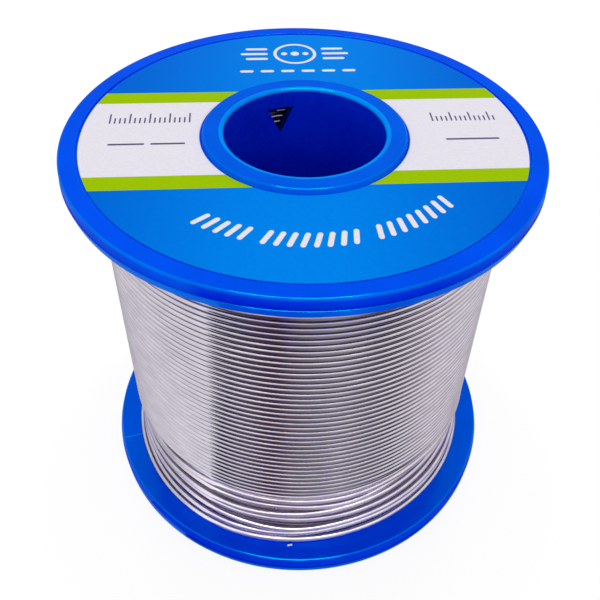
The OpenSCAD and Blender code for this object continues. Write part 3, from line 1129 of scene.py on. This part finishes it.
# %% Route of the loose turns
LOW_Z = GAP_LOW_Z + WIRE_R + 0.02
SPOKES = (0, 20, 40, 60, 110, 180, 250, 300, 320, 340)
LOOSE_HEIGHTS = [
    (14.95, 14.90, 14.90, 14.85, 14.75, 14.70, 14.72, 14.85, 14.65, 14.30),
    (14.12, 14.05, 14.05, 14.00, 13.95, 13.90, 13.95, 14.12, 13.90, 13.50),
    (13.27, 13.20, 13.20, 13.20, 13.05, 13.00, 13.15, 13.38, 13.15, 12.35),
    (12.33, 12.20, 11.35, 10.75, 11.10, 11.80, 12.25, 12.62, 12.35, 10.95),
    (11.00, 10.75, 10.60, 9.90, 10.10, 10.80, 11.40, 11.85, 10.90, 10.25),
    (9.47, 9.12, 8.85, 8.10, 7.90, 8.10, 8.40, 8.50, 8.40, 8.20),
    (7.93, 8.05, 8.00, 7.45, 7.10, 6.80, 6.20, 5.90, 6.40, 6.27),
    (5.49, 6.08, 6.34, 6.45, 6.20, 5.60, 5.20, 5.00, 5.25, 5.38),
    (4.40, 4.50, 4.83, 4.80, 4.60, 4.40, 4.10, LOW_Z, LOW_Z, LOW_Z),
    (LOW_Z, LOW_Z, LOW_Z, LOW_Z, LOW_Z, LOW_Z, LOW_Z, LOW_Z, LOW_Z, LOW_Z),
]
LOOSE_REACHES = [
    (0, 0, 0, 0, 0, 0, 0, 0, 0, 0),
    (0, 0, 0, 0, 0, 0, 0, 0, -0.05, 0),
    (0, -0.10, -0.35, -0.50, -0.40, 0, 0, 0.10, 0.15, 0.10),
    (0.15, 0.05, -0.20, -0.45, -0.50, -0.10, 0, 0, 0, 0.20),
    (0.20, 0.10, -0.15, -0.40, -0.60, -0.20, -0.20, -0.10, 0.20, 0.45),
    (0.50, 0.50, 0.10, -0.20, -0.50, -0.40, -0.30, -0.20, 0.20, 0.35),
    (0.35, 0.45, 0, -0.30, -0.50, -0.20, 0, 0.20, 0.35, 0.45),
    (0.55, 0.60, 0.30, 0, -0.30, -0.20, 0, 0.25, 0.40, 0.50),
    (0.55, 0.85, 0.70, 0.20, 0, 0, 0.25, 0.65, 0.63, 0.72),
    (1.03, 1.30, 1.13, 0.80, 0.30, 0.10, -0.30, -0.40, -0.40, -0.30),
]
stations = []
for turn_index, (heights, reaches) in enumerate(zip(LOOSE_HEIGHTS, LOOSE_REACHES)):
    stations += zip([360 * turn_index + spoke for spoke in SPOKES], heights, reaches)
stations.append((360 * len(LOOSE_HEIGHTS), LOW_Z, 0.0))
print(f"{len(stations)} stations over {len(LOOSE_HEIGHTS)} loose turns")

# %% [markdown]
# A smooth curve joins the stations. A common spline would swing out where the stations lie far apart.
# Between two of them this one is a cubic, whose slope at each station is weighed by how near its
# neighbours are, and it stays calm.


# %% Smooth curve
def smooth_through(stations, step):
    """A smooth curve through rows of values, whose first column is the place. Returns places and values."""
    table = np.array(stations, float)
    place, value = table[:, 0], table[:, 1:]
    gap = np.diff(place)[:, None]
    slope = np.diff(value, axis=0) / gap
    inner_slope = (slope[:-1] * gap[1:] + slope[1:] * gap[:-1]) / (gap[1:] + gap[:-1])
    slope = np.vstack((slope[:1], inner_slope, slope[-1:]))
    wanted = np.arange(place[0], place[-1] + step / 2, step)
    at = np.clip(np.searchsorted(place, wanted, side="right") - 1, 0, len(gap) - 1)
    t = (wanted[:, None] - place[at][:, None]) / gap[at]
    curve = (2 * t**3 - 3 * t**2 + 1) * value[at] + (t**3 - 2 * t**2 + t) * gap[at] * slope[at]
    curve += (3 * t**2 - 2 * t**3) * value[at + 1] + (t**3 - t**2) * gap[at] * slope[at + 1]
    return wanted, curve


RINGS_A_TURN = 144
travel, loose = smooth_through(stations, 360 / RINGS_A_TURN)
print(f"{len(travel)} points along the loose turns, the furthest {loose[:, 1].max():.2f} mm out")

# %% [markdown]
# The even turns run straight into the loose ones. They could be two tubes, but a seam would show, so
# they are one path and one tube. The loose turns' own solder, with its painted highlight, starts a little
# over a turn and a half into them, where the wire first stands free.

# %% Outer layer
WIND_TURN = -91.0
TURN_R = 25.65
TOP_Z = GAP_HIGH_Z - WIRE_R - 0.02
EVEN_TURNS = 40
CLIMB = 0.25
CLIMB_DEPTH = 1.0
LIT_FROM_TURN = 1.6

even_step = np.arange(EVEN_TURNS * RINGS_A_TURN) / RINGS_A_TURN
risen = np.clip(even_step / CLIMB, 0, 1)
even_r = TURN_R - CLIMB_DEPTH * (1 - risen * risen * (3 - 2 * risen))
even_path = round_the_axis(WIND_TURN - 360 * even_step, even_r, TOP_Z - PITCH * even_step)
loose_path = round_the_axis(WIND_TURN - travel, TURN_R + loose[:, 1], loose[:, 0])
outer_path = np.vstack((even_path, loose_path))
lit_from = len(even_path) + int(LIT_FROM_TURN * RINGS_A_TURN)
outer = tube_object(
    "outer_layer", outer_path, WIRE_R, WIRE_SIDES, solder_bright, solder_loose, change_at=lit_from
)
settle(outer, "solder", "outer_turns")

# %% [markdown]
# ### The cut end
#
# The wire's end comes out from under the last turn, over the lower flange. Side cutters pinch a soft
# wire before they part it, so it ends in a flat chip. Only that chip can be seen, and a thin neck holds
# it to the winding. The pinched faces are fresh metal, and the squeezed flux core shows as a line at the
# tip. A cube could be pushed into shape by hand, but a stack of ovals along the wire's spoke, joined
# into walls, keeps every size in view.


# %% Oval stack
END_SIDES = 24
END_SKEW = 0.2
END_ASIDE = 0.2
FLOOR_OF_END_Z = GAP_LOW_Z + 0.01


def oval_ring(made, reach, half_w, half_h, lift):
    """The points of one oval, square to the spoke of the wire's end but for a slight skew."""
    spoke = Matrix.Rotation(math.radians(WIND_TURN), 3, "Z")
    ring = []
    for step in range(END_SIDES):
        angle = 2 * math.pi * step / END_SIDES
        y, z = half_w * math.cos(angle), half_h * math.sin(angle)
        place = Vector((reach - END_SKEW * y, y + END_ASIDE, FLOOR_OF_END_Z + lift + z))
        ring.append(made.verts.new(spoke @ place * MM))
    return ring


def oval_stack(name, ovals, wedge_from, *materials):
    """A closed body through ovals. Its walls from wedge_from on take the last material."""
    made = bmesh.new()
    rings = [oval_ring(made, *oval) for oval in ovals]
    last = len(materials) - 1
    for oval, near, far in zip(ovals, rings, rings[1:]):
        for step in range(END_SIDES):
            after = (step + 1) % END_SIDES
            face = made.faces.new((near[step], near[after], far[after], far[step]))
            if oval[0] >= wedge_from:
                face.material_index = last
    made.faces.new(rings[0][::-1])
    made.faces.new(rings[-1]).material_index = last
    bmesh.ops.recalc_face_normals(made, faces=made.faces)
    return finish_mesh(name, made, *materials)


# %% [markdown]
# The neck is a tenth of a millimetre thick. The chip starts at its full height and falls to a thin tip.
# Each of its ovals rests on the flange, so the middle lies as high as half the height. The flux core is
# a thinner stack inside the first one, and comes out a hundredth of a millimetre beyond the tip.

# %% Wire end and flux core
WEDGE_FROM_R = TAIL_TIP_R - 0.05
WEDGE_TO_R = WEDGE_FROM_R + 0.16
FLUX_R = 0.15
END_OVALS = [
    # distance from the axis, half the width, half the height, and how high the middle lies
    (TAIL_FROM_R, 0.05, 0.05, 0.05),
    (WEDGE_FROM_R - 0.03, 0.05, 0.05, 0.05),
    (WEDGE_FROM_R, 0.34, 0.14, 0.14),
    (WEDGE_TO_R - 0.03, 0.34, 0.05, 0.05),
    (WEDGE_TO_R, 0.32, 0.03, 0.03),
]
CORE_OVALS = [
    (TAIL_FROM_R, 0.02, 0.02, 0.05),
    (WEDGE_FROM_R, 0.02, 0.02, 0.05),
    (WEDGE_TO_R + 0.01, FLUX_R + 0.02, 0.02, 0.03),
]
wire_end = oval_stack("wire_cut_end", END_OVALS, WEDGE_FROM_R, solder_bright, solder_cut)
settle(wire_end, "solder", "wire_tail")
flux = oval_stack("rosin_core", CORE_OVALS, WEDGE_TO_R, rosin)
settle(flux, "rosin", "flux_core")
print(f"wire end: from {TAIL_FROM_R:.2f} to {WEDGE_TO_R:.2f} mm out")

# %% [markdown]
# ## Floor, light and background
#
# The spool stands on a plain white floor in soft light from all round. A real studio lights such a floor
# until it is white, and that light then reaches the spool too. Here the two are kept apart: a camera or
# a mirror sees the floor and the sky as nearly plain white, while the light that falls on the spool from
# them is set by itself.


# %% What a camera sees
def seen_directly(tree):
    """1 for what the camera sees, also in a mirror or through glass, and 0 for light on a surface."""
    path = add_node(tree, "ShaderNodeLightPath")
    seen = calculate(tree, "MAXIMUM", path.outputs["Is Camera Ray"], path.outputs["Is Glossy Ray"])
    return calculate(tree, "MAXIMUM", seen, path.outputs["Is Transmission Ray"])


# %% [markdown]
# The floor is matt white for the light that falls on it. What a camera sees of it is mostly a glow, and
# the matt rest keeps a trace of the spool's own shadow.

# %% Floor
FLOOR_SIZE = 3.0
WHITE_SHARE = 0.84
floor_white = bpy.data.materials.new("floor_white")
floor_white.use_nodes = True
floor_tree = floor_white.node_tree
floor_tree.nodes.clear()
matte = add_node(floor_tree, "ShaderNodeBsdfDiffuse", Color=rgba(0.9, 0.9, 0.9))
glow = add_node(floor_tree, "ShaderNodeEmission", Color=rgba(1, 1, 1), Strength=1.04)
blend = add_node(floor_tree, "ShaderNodeMixShader")
floor_end = add_node(floor_tree, "ShaderNodeOutputMaterial")
white_share = calculate(floor_tree, "MULTIPLY", seen_directly(floor_tree), WHITE_SHARE)
floor_tree.links.new(white_share, blend.inputs["Fac"])
floor_tree.links.new(matte.outputs["BSDF"], blend.inputs[1])
floor_tree.links.new(glow.outputs["Emission"], blend.inputs[2])
floor_tree.links.new(blend.outputs["Shader"], floor_end.inputs["Surface"])

half = FLOOR_SIZE / 2
floor_corners = [(-half, -half, 0), (half, -half, 0), (half, half, 0), (-half, half, 0)]
floor_mesh = bpy.data.meshes.new("floor")
floor_mesh.from_pydata(floor_corners, [], [(0, 1, 2, 3)])
floor_mesh.materials.append(floor_white)
floor = bpy.data.objects.new("floor", floor_mesh)
scene.collection.objects.link(floor)
print(f"floor: {FLOOR_SIZE} m across")

# %% [markdown]
# The sky is alike on all sides, and lights the spool as softly as a tent of white cloth would. An image
# of a studio could stand in for it, but a single strength is easier to set.

# %% Sky
SKY_LIGHT = 0.70
sky = bpy.data.worlds.new("soft_sky")
scene.world = sky
sky.use_nodes = True
sky_tree = sky.node_tree
sky_tree.nodes.clear()
sky_light = add_node(sky_tree, "ShaderNodeBackground", Color=rgba(1, 1, 1), Strength=SKY_LIGHT)
sky_white = add_node(sky_tree, "ShaderNodeBackground", Color=rgba(1, 1, 1), Strength=1.0)
sky_blend = add_node(sky_tree, "ShaderNodeMixShader")
sky_end = add_node(sky_tree, "ShaderNodeOutputWorld")
sky_tree.links.new(seen_directly(sky_tree), sky_blend.inputs["Fac"])
sky_tree.links.new(sky_light.outputs["Background"], sky_blend.inputs[1])
sky_tree.links.new(sky_white.outputs["Background"], sky_blend.inputs[2])
sky_tree.links.new(sky_blend.outputs["Shader"], sky_end.inputs["Surface"])
print("light from the sky:", SKY_LIGHT)

# %% [markdown]
# Bright metal shows the room around it more than itself. In a studio, dark cards are stood round such a
# thing, and each turn of wire then shows dark and light lines. An image of a room, wrapped round the
# scene, could do the same, but a few cards are easier to steer. A card here is a strip round the spool
# that glows by a list of tones. Only mirror-like rays see it, so it casts no light and no shadow.
#
# The standing card rises from the floor round the front, and the upper card continues it. They show in
# the upper side of each turn. The lying card covers the floor and shows in the lower side.

# %% Tones of the large cards
STANDING_TONES = [
    # angle round the spool, and the grey with a tint that the card has there
    (-190.0, (0.92, 0.91, 0.94)),
    (-150.0, (1.00, 0.99, 1.00)),
    (-133.2, (0.98, 0.98, 1.01)),
    (-131.2, (0.40, 0.38, 0.46)),
    (-121.5, (0.42, 0.39, 0.46)),
    (-110.0, (0.22, 0.17, 0.22)),
    (-104.0, (0.14, 0.07, 0.12)),
    (-98.5, (0.14, 0.08, 0.12)),
    (-93.0, (0.24, 0.20, 0.24)),
    (-76.0, (0.36, 0.34, 0.38)),
    (-65.0, (0.54, 0.52, 0.56)),
    (-53.5, (0.46, 0.44, 0.48)),
    (-36.0, (0.84, 0.80, 0.84)),
    (-18.0, (0.98, 0.96, 0.99)),
    (20.0, (0.95, 0.93, 0.96)),
]
UPPER_TONES = [
    (-126.0, (0.95, 0.95, 0.98)),
    (-112.0, (0.90, 0.87, 0.92)),
    (-98.0, (0.66, 0.54, 0.65)),
    (-84.0, (0.60, 0.58, 0.64)),
    (-60.0, (0.72, 0.70, 0.74)),
    (-40.0, (1.00, 0.99, 1.00)),
]
LYING_TONES = [
    (-230.0, (0.55, 0.53, 0.57)),
    (-190.0, (0.68, 0.66, 0.70)),
    (-160.0, (0.82, 0.80, 0.85)),
    (-135.7, (1.06, 1.05, 1.09)),
    (-134.5, (0.010, 0.010, 0.040)),
    (-131.0, (0.012, 0.010, 0.040)),
    (-127.0, (0.025, 0.020, 0.055)),
    (-122.0, (0.080, 0.060, 0.095)),
    (-115.0, (0.100, 0.070, 0.105)),
    (-108.0, (0.075, 0.038, 0.065)),
    (-101.0, (0.070, 0.032, 0.060)),
    (-94.0, (0.145, 0.105, 0.14)),
    (-80.0, (0.235, 0.215, 0.265)),
    (-70.0, (0.30, 0.275, 0.32)),
    (-54.0, (0.165, 0.145, 0.18)),
    (-38.0, (0.04, 0.035, 0.05)),
    (-27.0, (0.24, 0.21, 0.24)),
    (-15.0, (0.54, 0.49, 0.54)),
    (-4.0, (0.58, 0.54, 0.58)),
    (6.0, (0.60, 0.57, 0.61)),
    (26.0, (0.66, 0.64, 0.68)),
    (70.0, (0.70, 0.68, 0.72)),
]
print("tones of the large cards:", len(STANDING_TONES), len(UPPER_TONES), len(LYING_TONES))

# %% [markdown]
# The small ones fill in the rest. The near card lies close round the lower rim and darkens what its edge
# mirrors. The light strip hangs high in front, and the disc overhead is far brighter than white: they
# draw the fine highlights.

# %% Tones of the small cards
NEAR_TONES = [
    (-139.0, (0.30, 0.27, 0.40)),
    (-118.0, (0.10, 0.08, 0.14)),
    (-106.0, (0.08, 0.06, 0.10)),
    (-88.0, (0.08, 0.07, 0.11)),
    (-74.0, (0.25, 0.23, 0.36)),
    (-50.0, (0.35, 0.33, 0.48)),
    (-25.0, (0.40, 0.37, 0.50)),
]
STRIP_TONES = [
    (-150.0, (0.9, 0.9, 0.93)),
    (-138.0, (3.4, 3.3, 3.5)),
    (-42.0, (3.4, 3.3, 3.5)),
    (-30.0, (0.9, 0.9, 0.93)),
]
OVERHEAD_TONES = [
    (-240.0, (8.0, 8.0, 8.0)),
    (120.0, (8.0, 8.0, 8.0)),
]
print("brightest tone overhead:", OVERHEAD_TONES[0][1][0])

# %% [markdown]
# A card's material sweeps round its centre, and a ramp along the sweep holds the tones. The sweep has a
# seam where it starts again, so every card is turned to bring that seam out of the way, behind.

# %% Card helpers
SWEEP_TURN = -60.0


def card_surface(name, tones):
    """A card's material: it glows by a list of tones round its centre, so that no lamp changes it."""
    material = bpy.data.materials.new(name)
    material.use_nodes = True
    tree = material.node_tree
    tree.nodes.clear()
    place = add_node(tree, "ShaderNodeTexCoord")
    sweep = add_node(tree, "ShaderNodeTexGradient", gradient_type="RADIAL")
    tree.links.new(place.outputs["Object"], sweep.inputs["Vector"])
    stops = [((angle - SWEEP_TURN) / 360 + 0.5, rgba(*tone)) for angle, tone in tones]
    glow = add_node(tree, "ShaderNodeEmission", Strength=1.0)
    tree.links.new(ramp(tree, sweep.outputs["Fac"], *stops), glow.inputs["Color"])
    end = add_node(tree, "ShaderNodeOutputMaterial")
    tree.links.new(glow.outputs["Emission"], end.inputs["Surface"])
    return material


def add_card(name, near, far, tones, centre=(0.0, 0.0)):
    """A strip round a centre between two edges, each a radius and a height in millimetres."""
    angles = np.radians(np.linspace(tones[0][0], tones[-1][0], 97) - SWEEP_TURN)
    points = []
    for radius, height in (near, far):
        points += [Vector((radius * math.cos(a), radius * math.sin(a), height)) * MM for a in angles]
    count = len(angles)
    faces = [(i, i + 1, count + i + 1, count + i) for i in range(count - 1)]
    mesh = bpy.data.meshes.new(name)
    mesh.from_pydata(points, [], faces)
    mesh.materials.append(card_surface(name, tones))
    card = bpy.data.objects.new(name, mesh)
    card.location = Vector((*centre, 0.0)) * MM
    card.rotation_euler.z = math.radians(SWEEP_TURN)
    scene.collection.objects.link(card)
    card.visible_camera = card.visible_diffuse = False
    card.visible_shadow = card.visible_transmission = False
    print(f"{name}: from {near} to {far}")


# %% [markdown]
# Each edge of a card is a radius and a height. The lying card has its centre a little in front of the
# spool's axis, which sets how its sharp change from bright to dark runs over the turns. The disc overhead
# is a strip as well, from a wide edge to one near its middle.

# %% Place the cards
CARD_R = 350.0
CARD_H = 170.0
UPPER_CARD_H = 330.0
LYING_CENTRE = (0.0, -9.0)
LYING_EDGES = ((FLANGE_R - 10.0, 0.2), (CARD_R, 0.2))
NEAR_EDGES = ((FLANGE_R + 0.8, 0.4), (FLANGE_R + 5.5, 0.4))
STRIP_EDGES = ((215.0, 400.0), (202.0, 414.0))
OVERHEAD_CENTRE = (0.0, -18.0)
OVERHEAD_EDGES = ((90.0, 400.0), (1.0, 400.0))
add_card("standing_card", (CARD_R, 0.0), (CARD_R, CARD_H), STANDING_TONES)
add_card("upper_card", (CARD_R, CARD_H), (CARD_R, UPPER_CARD_H), UPPER_TONES)
add_card("lying_card", *LYING_EDGES, LYING_TONES, LYING_CENTRE)
add_card("near_card", *NEAR_EDGES, NEAR_TONES)
add_card("light_strip", *STRIP_EDGES, STRIP_TONES)
add_card("overhead_strip", *OVERHEAD_EDGES, OVERHEAD_TONES, OVERHEAD_CENTRE)

# %% [markdown]
# Two small lamps high up behind the spool draw a bright line along each turn of wire. A wide one fills
# in the front. Mirrors don't see that one, as the cards already say what the wire shows there.

# %% Lamps
LAMPS = [
    # name, angle round the spool, height angle, distance, size, power in watts, seen in mirrors
    ("lamp_left", 127.0, 75.0, 0.55, 0.06, 0.35, True),
    ("lamp_right", 60.0, 76.0, 0.55, 0.06, 0.35, True),
    ("lamp_front", -92.0, 38.0, 0.80, 0.60, 1.3, False),
]
AIM = Vector((0.0, 0.0, 0.03))
for name, around, above, distance, size, power, mirrored in LAMPS:
    light = bpy.data.lights.new(name, "AREA")
    light.shape = "SQUARE"
    light.size = size
    light.energy = power
    lamp = bpy.data.objects.new(name, light)
    scene.collection.objects.link(lamp)
    a, e = math.radians(around), math.radians(above)
    reach = Vector((math.cos(a) * math.cos(e), math.sin(a) * math.cos(e), math.sin(e)))
    lamp.location = AIM + distance * reach
    lamp.rotation_euler = reach.to_track_quat("Z", "Y").to_euler()
    lamp.visible_camera = False
    lamp.visible_glossy = mirrored
    print(f"{name}: {power} W, {size} m wide")
